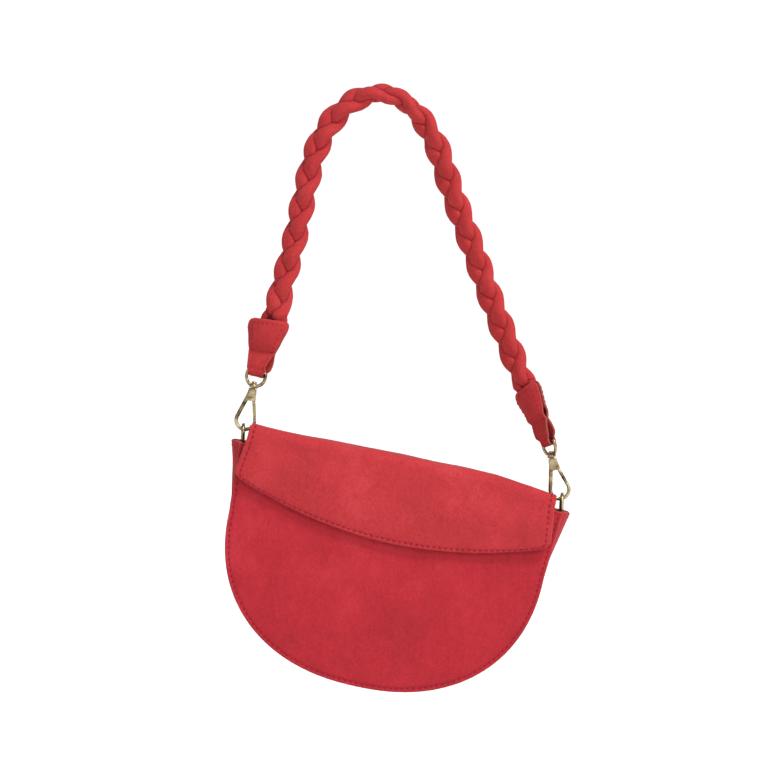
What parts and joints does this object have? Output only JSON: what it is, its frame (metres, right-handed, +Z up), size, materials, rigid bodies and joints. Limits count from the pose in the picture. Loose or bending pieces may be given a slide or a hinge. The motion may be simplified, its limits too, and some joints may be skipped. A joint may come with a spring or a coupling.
{
  "type": "shoulder bag",
  "caption": "Half-moon shoulder bag in suede-finish leather, with a front flap, a snap closure and a three-strand braided strap on swivel snap hooks.",
  "frame": {"origin": "under the top of the strap, where a peg or hand holds it", "axes": "+X to the wearer's view right along the bag, +Y from the flap's front to the back panel, +Z up"},
  "size_m": [0.2423, 0.058, 0.4242],
  "materials": {
    "body_suede": "napped, coral red",
    "flap_suede": "napped, coral red, a little lighter",
    "strap_suede": "napped, coral red",
    "lining": "plain woven cloth",
    "board": "fibre board",
    "antique_brass": "antique brass plating"
  },
  "bodies": {
    "strap": {"strand_1": "strap_suede", "strand_2": "strap_suede", "strand_3": "strap_suede", "left_strap_tab": "strap_suede", "right_strap_tab": "strap_suede"},
    "left_eye": {"left_swivel_eye": "antique_brass"},
    "right_eye": {"right_swivel_eye": "antique_brass"},
    "left_hook": {"left_hook_body": "antique_brass", "left_gate_pin": "antique_brass"},
    "right_hook": {"right_hook_body": "antique_brass", "right_gate_pin": "antique_brass"},
    "left_gate": {"left_hook_gate": "antique_brass"},
    "right_gate": {"right_hook_gate": "antique_brass"},
    "bag": {"front_panel": "body_suede", "back_panel": "body_suede", "gusset": "body_suede", "lining": "lining", "front_stiffener": "board", "back_stiffener": "board", "left_ring_tab": "body_suede", "right_ring_tab": "body_suede", "snap_socket": "antique_brass"},
    "left_ring": {"left_bag_ring": "antique_brass"},
    "right_ring": {"right_bag_ring": "antique_brass"},
    "flap": {"flap_outer": "flap_suede", "flap_lining": "lining", "flap_stiffener": "board", "snap_stud": "antique_brass"}
  },
  "joints": [
    {"name": "strap_swing", "type": "hinge", "parent": "strap", "child": "left_eye", "pos_m": [-0.09095, 0, -0.18641], "axis": [0.9727, 0, -0.2322], "range_deg": [-6, 6]},
    {"name": "right_strap_swing", "type": "hinge", "parent": "strap", "child": "right_eye", "pos_m": [0.11273, 0, -0.23502], "axis": [0.9727, 0, -0.2322], "range_deg": [-6, 6]},
    {"name": "bag_swing", "type": "hinge", "parent": "left_eye", "child": "bag", "pos_m": [-0.1006, 0, -0.22657], "axis": [0.977, 0, -0.213], "range_deg": [-25, 25]},
    {"name": "flap_open", "type": "hinge", "parent": "bag", "child": "flap", "pos_m": [0.01075, 0.025, -0.25151], "axis": [-0.977, 0, 0.213], "range_deg": [0, 36]},
    {"name": "left_hook_swivel", "type": "hinge", "parent": "left_eye", "child": "left_hook", "pos_m": [-0.09336, 0, -0.19642], "axis": [0.2334, 0, 0.9724], "range_deg": [-20, 20]},
    {"name": "left_gate_open", "type": "hinge", "parent": "left_hook", "child": "left_gate", "pos_m": [-0.09332, 0, -0.20528], "axis": [0, 1, 0], "range_deg": [0, 18], "stiffness_Nm_per_rad": 0.01, "springref_deg": -11.46},
    {"name": "left_ring_tilt", "type": "hinge", "parent": "bag", "child": "left_ring", "pos_m": [-0.10114, 0, -0.23595], "axis": [0, 1, 0], "range_deg": [-2, 2]},
    {"name": "right_hook_swivel", "type": "hinge", "parent": "right_eye", "child": "right_hook", "pos_m": [0.11513, 0, -0.24504], "axis": [-0.2334, 0, 0.9724], "range_deg": [-20, 20]},
    {"name": "right_gate_open", "type": "hinge", "parent": "right_hook", "child": "right_gate", "pos_m": [0.11918, 0, -0.25291], "axis": [0, 1, 0], "range_deg": [0, 18], "stiffness_Nm_per_rad": 0.01, "springref_deg": -11.46},
    {"name": "right_ring_tilt", "type": "hinge", "parent": "bag", "child": "right_ring", "pos_m": [0.12183, 0, -0.28456], "axis": [0, 1, 0], "range_deg": [-2, 2]}
  ],
  "couplings": [
    {"joint": "right_strap_swing", "follows": "strap_swing", "ratio": 1}
  ]
}
